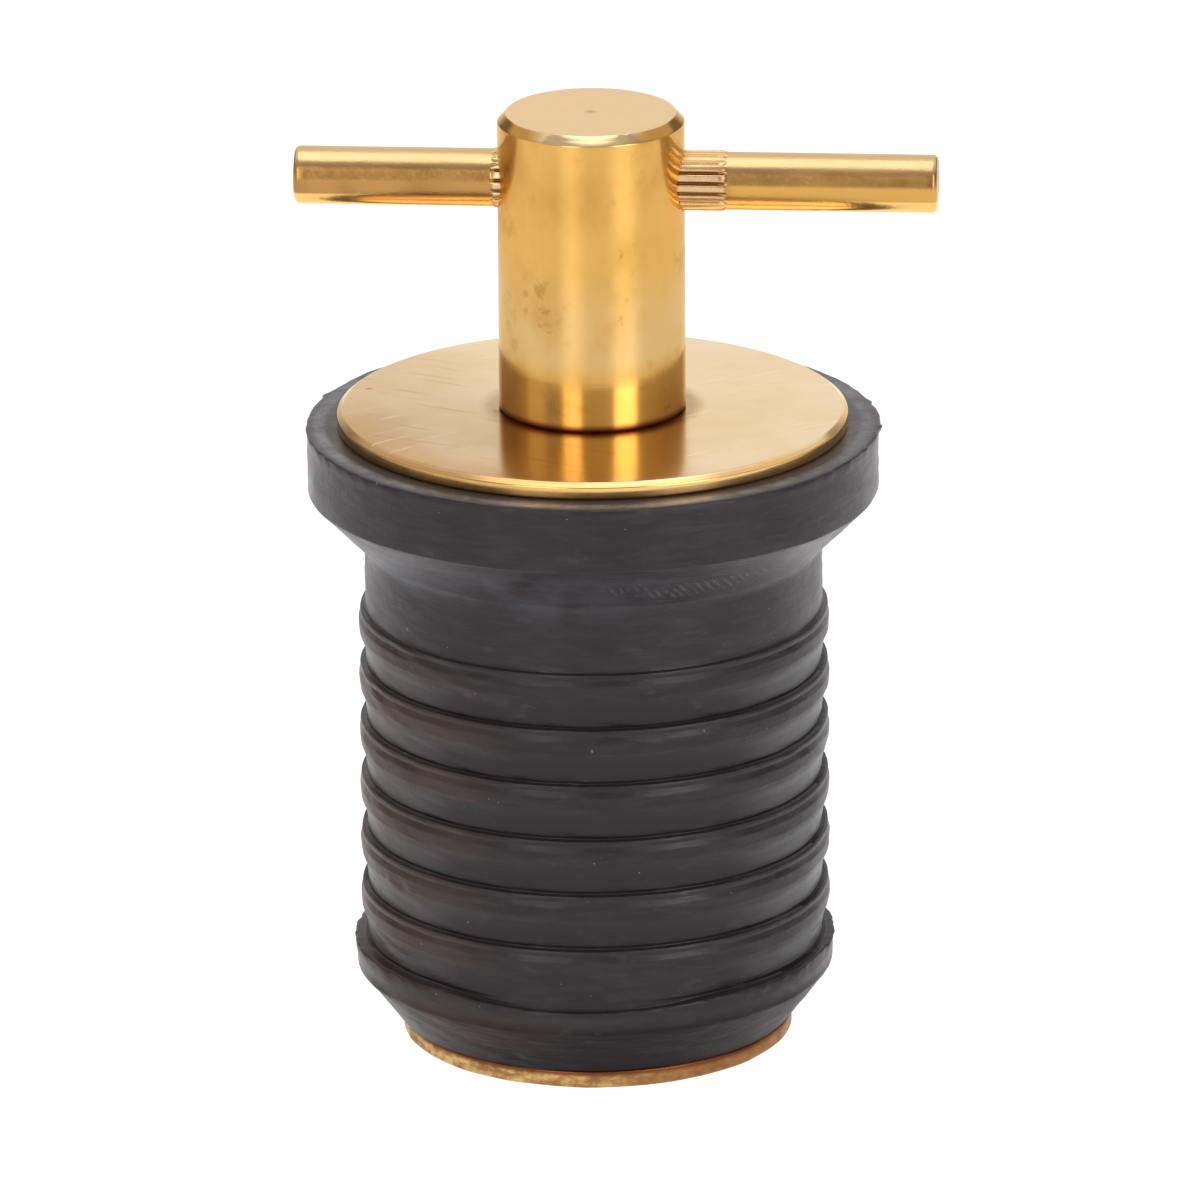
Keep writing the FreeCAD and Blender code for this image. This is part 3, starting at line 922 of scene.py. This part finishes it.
def turned_brass():
    """Turned bar: clouds of tarnish with darker blots and specks, a chamfer painted pale in front as a
    highlight and darker brown at its sides, a pale face with its dimple, and a maroon line along the foot."""
    brass = brass_finish("brass_turned", TURNED_COLOURS)
    above_foot = brass.maths("SUBTRACT", brass.z, handle_foot)
    below_top = brass.maths("SUBTRACT", handle_top, brass.z)
    marks = brass.noise(900, 3, stretch=(0.12, 0.12, 14))
    clouds = brass.noise(230, 6, stretch=(1, 1, 0.7))
    specks = brass.noise(1300, 3)
    blots = brass.noise(420, 5, 0.65)
    brass.colour = brass.blended((clouds, 0.42, 0.72), "bar", "tarnish")
    few_clouds = brass.between(clouds, 0.68, 0.40, 0.35, 1.0)
    brass.tint("pale band", (above_foot, 9.5, 5.0), (above_foot, 2.8, 4.0), few_clouds, 0.7)
    brass.tint("blots", (blots, 0.56, 0.72, 0.0, 0.5))
    brass.tint("specks", (specks, 0.60, 0.68), (clouds, 0.52, 0.62), 0.45)
    brass.tint("speckled", brass.patch(handle_foot + 7.2, 1.6, -35, 4.90, 5.0), (specks, 0.50, 0.58), 0.45)
    brass.tint("left foot", brass.patch(handle_foot + 1.4, 2.4, -66, 4.50, 4.95), 0.55)
    # Painted highlight: the chamfer is pale in front of the lens, darker brown at its sides.
    right_of = brass.towards(90)
    sides = brass.maths("MAXIMUM", brass.between(right_of, -1.9, -3.6), brass.between(right_of, 1.4, 3.2))
    top = brass.between(below_top, 0.50, 0.44)
    brass.tint(brass.blended(sides, "chamfer", "chamfer sides"), top)
    face = brass.blended(brass.noise(1100, 5), "face", "face grain")
    brass.tint(face, (below_top, 0.06, 0.02))
    brass.tint("dimple", brass.spot(0, 0, 0.42), 0.6)
    brass.tint("foot", (above_foot, 0.50, 0.08))
    normal = brass.bumped(brass.total(marks, brass.product(blots, 1.5)), 0.12, 0.00002)
    brass.coat(brass.shader, (clouds, 0.3, 0.7, 0.06, 0.15), normal)
    brass.join((top, 0, 1, SMEARED_SHARE, 0.0), smeared_shader(brass, normal))
    return brass.material


# %% Drawn brass
def drawn_brass():
    """Drawn rod, duller than the turned parts, with marks along its length, a rubbed right end, a smoother
    underside painted bright as a reflection of the floor, a top painted pale as a highlight, and a knurl
    with pale tops and dark grooves."""
    brass = brass_finish("brass_drawn", DRAWN_COLOURS)
    level = brass.maths("SUBTRACT", brass.z, pin_height)
    marks = brass.noise(1200, stretch=(0.15, 1, 1))
    grain = brass.noise(1500, stretch=(0.6, 1, 1))
    brass.colour = brass.blended((brass.noise(350, 5), 0.35, 0.7), "rod", "clouds")
    brass.tint("shaded", (level, 0.1, 0.4), (level, 0.8, 0.6), 0.6)
    brass.tint("rubbed", (brass.x, 7.0, 8.0), (level, 0.3, 0.05))
    # Painted reflection: the underside is tinted bright for the floor it reflects; the same mask makes it
    # smoother.
    underside = brass.between(level, -0.56, -0.72)
    brass.tint("underside", underside)
    out = brass.distance(brass.y, level)
    knurled = brass.between(brass.maths("ABSOLUTE", brass.x), 7.5, 7.4)
    brass.tint("ridges", (out, 1.58, 1.62), knurled, 0.8)
    brass.tint("grooves", (out, 1.56, 1.50), knurled, 0.8)
    # Painted highlight: the pin's top is tinted pale where the overhead light falls.
    brass.tint("painted top highlight", (level, 0.75, 1.25))
    roughness = brass.blended_value(underside, brass.between(marks, 0.3, 0.7, 0.22, 0.34), 0.18)
    relief = brass.total(brass.product(marks, 0.5), grain)
    brass.coat(brass.shader, roughness, brass.bumped(relief, 0.35, 0.00005))
    return brass.material


# %% Polished and punched brass
def polished_brass():
    """Tumbled sheet: nearly a mirror, pale, with hairline scratches, browner at its left, along its rim and
    round the handle, and golden on its rolled edge."""
    brass = brass_finish("brass_polished", POLISHED_COLOURS)
    out = brass.distance(brass.x, brass.y)
    clouds = brass.noise(160, 6)
    wide = brass.noise(75)
    scratches = brass.noise(1500, 1.5, stretch=(0.11, 1.5, 1), degrees=38, distortion=0.3)
    more_scratches = brass.noise(1300, 1.5, stretch=(0.10, 1.5, 1), degrees=-24, distortion=0.3)
    brass.colour = brass.blended((clouds, 0.38, 0.72), "sheet", "clouds")
    left = brass.between(brass.towards(-58), -0.5, 7.5)
    brass.tint("brown side", left, (wide, 0.36, 0.62, 0.5, 1.0), 0.95)
    brass.tint("rim", (out, 10.5, 13.6), (clouds, 0.3, 0.6), (brass.towards(-60), 3.0, 10.0), 0.65)
    brass.tint("inner ring", (out, 6.3, 5.3), (clouds, 0.3, 0.55, 0.5, 1.0), 0.75)
    brass.tint("pale hairs", (scratches, 0.63, 0.68), (wide, 0.42, 0.55), 0.25)
    brass.tint("dark hairs", (more_scratches, 0.63, 0.69), left, 0.4)
    edge = brass.blended((brass.towards(-75), 5.0, 11.5), "rolled edge", "left edge")
    brass.tint(edge, (brass.z, washer_top - 0.13, washer_top - 0.20), 0.8)
    pits = brass.maths("MAXIMUM", brass.spot(-12.3, 2.3, 0.22), brass.spot(-4.9, -1.4, 0.5))
    brass.tint("pits", pits, 0.7)
    normal = brass.bumped(scratches, 0.10, 0.00003)
    brass.coat(brass.shader, (clouds, 0.3, 0.7, 0.11, 0.20), normal)
    return brass.material


def punched_brass():
    """Punched sheet: gold streaks between brown tarnish on a rough edge, with an orange-brown line where it
    meets the rubber."""
    brass = brass_finish("brass_punched", PUNCHED_COLOURS)
    patches = brass.noise(700, 7, 0.72, stretch=(1, 1, 2))
    brass.colour = brass.blended((patches, 0.38, 0.62), "tarnish", "gold streaks")
    brass.tint("grain", (brass.noise(2600), 0.48, 0.7), 0.45)
    brass.tint("right side", (brass.towards(60), 3.0, 9.5), 0.8)
    brass.tint("joint", (brass.level_with_lean(), disc_top - 0.45, disc_top - 0.18), 0.95)
    normal = brass.bumped(patches, 0.35, 0.00008)
    brass.coat(brass.shader, (patches, 0.3, 0.7, 0.46, 0.28), normal)
    return brass.material


# %% Dress the pieces and let them ride
PIECES = (
    (sleeve, "rubber_sleeve", "sleeve", "sleeve_rubber", rubber_finish),
    (washer, "top_washer", "sleeve", "washer_brass", polished_brass),
    (handle, "handle_body", "handle", "handle_brass", turned_brass),
    (pin, "cross_pin", "handle", "pin_brass", drawn_brass),
    (disc, "bottom_disc", "stud", "disc_brass", punched_brass),
    (stud, "draw_stud", "stud", "stud_brass", punched_brass),
)
for piece, node, body, slot, finish in PIECES:
    piece.data.materials.append(finish())
    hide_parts(node)
    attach(piece, body)

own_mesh(sleeve)

# %% [markdown]
# ## Floor and light
# The plug stands on a white sheet that glows a little, so that its own shadow stays pale. The room is
# worked out from the direction alone: white behind the plug, dark in front and above, with tall bright
# panels to the left and right of the lens and a large one overhead. Brass is mostly what it reflects.

# %% Floor
FLOOR_LEVEL = -0.00006
FLOOR_HALF_WIDTH = 0.6
floor_mesh = bpy.data.meshes.new("floor")
floor_signs = ((-1, -1), (1, -1), (1, 1), (-1, 1))
floor_corners = [(x * FLOOR_HALF_WIDTH, y * FLOOR_HALF_WIDTH, FLOOR_LEVEL) for x, y in floor_signs]
floor_mesh.from_pydata(floor_corners, [], [(0, 1, 2, 3)])
floor = bpy.data.objects.new("floor", floor_mesh)
bpy.context.scene.collection.objects.link(floor)
sheet = Material("floor")
sheet.fill(sheet.shader, {"Base Color": (0.12, 0.12, 0.12, 1), "Roughness": 0.9, "Specular IOR Level": 0.0,
                          "Emission Color": (1, 1, 1, 1), "Emission Strength": 1.04})
floor_mesh.materials.append(sheet.material)

# %% The room
# Degrees to the right of the lens, width in degrees and brightness.
PANELS = ((-25, 22, 3.2), (-73, 26, 0.9), (42, 28, 3.75))
HALF_EDGE = 3
FRONT_DARK = 0.5
SIDE_DARK = 0.3
BEHIND = 0.95
OVERHEAD = 1.9
OVERHEAD_BACK = 5.5
UPPER_BEHIND = 0.8
UPPER_SIDES = 0.9
BELOW = 1.1


def room_stops():
    """Brightness at azimuths from -180 to 180 degrees to the right of the lens."""
    stops = [(-180, BEHIND), (-160, BEHIND), (-148, SIDE_DARK), (-110, SIDE_DARK)]
    for middle, width, strength in sorted(PANELS):
        left, right = middle - width / 2, middle + width / 2
        stops += [(left - HALF_EDGE, FRONT_DARK), (left + HALF_EDGE, strength)]
        stops += [(right - HALF_EDGE, strength), (right + HALF_EDGE, FRONT_DARK)]
    return stops + [(110, SIDE_DARK), (148, SIDE_DARK), (160, BEHIND), (180, BEHIND)]


def grey(strength):
    """A colour of one brightness."""
    return strength, strength, strength, 1


world = bpy.data.worlds.new("room")
bpy.context.scene.world = world
world.use_nodes = True
room = Tree(world.node_tree)
direction = room.nodes.new("ShaderNodeTexCoord").outputs["Generated"]


def along_direction(axis):
    """Share of the direction along an axis."""
    node = room.nodes.new("ShaderNodeVectorMath")
    node.operation = "DOT_PRODUCT"
    return room.fill(node, {0: direction, 1: axis}).outputs["Value"]


# %% Join the room's nodes
forwards = along_direction((math.sin(CAMERA_AZIMUTH), -math.cos(CAMERA_AZIMUTH), 0))
rightwards = along_direction((math.cos(CAMERA_AZIMUTH), math.sin(CAMERA_AZIMUTH), 0))
upwards = along_direction((0, 0, 1))
azimuth = room.maths("ARCTAN2", rightwards, forwards)
ramp = room.nodes.new("ShaderNodeValToRGB")
stops = room_stops()
while len(ramp.color_ramp.elements) < len(stops):
    ramp.color_ramp.elements.new(0.5)
for element, (degrees, strength) in zip(ramp.color_ramp.elements, stops):
    element.position = (degrees + 180) / 360
    element.color = grey(strength)
room.fill(ramp, {0: room.total(room.maths("DIVIDE", azimuth, 2 * math.pi), 0.5)})
above = along_direction(Euler((-math.radians(OVERHEAD_BACK), 0, CAMERA_AZIMUTH)).to_matrix().col[2])
upper = room.blended(room.between(forwards, 0.15, -0.35), grey(FRONT_DARK), grey(UPPER_BEHIND))
light = room.blended(room.between(upwards, 0.62, 0.75), ramp.outputs[0], upper)
at_side = room.between(room.maths("ABSOLUTE", azimuth), 1.5, 1.75)
light = room.blended(room.product(at_side, room.between(upwards, 0.38, 0.48)), light, grey(UPPER_SIDES))
light = room.blended(room.between(upwards, -0.06, 0.0), grey(BELOW), light)
light = room.blended(room.between(above, 0.895, 0.94), light, grey(OVERHEAD))
background = room.fill(room.nodes.new("ShaderNodeBackground"), {"Color": light})
room.fill(room.nodes.new("ShaderNodeOutputWorld"), {"Surface": background.outputs[0]})
bpy.context.scene.view_settings.view_transform = "Standard"
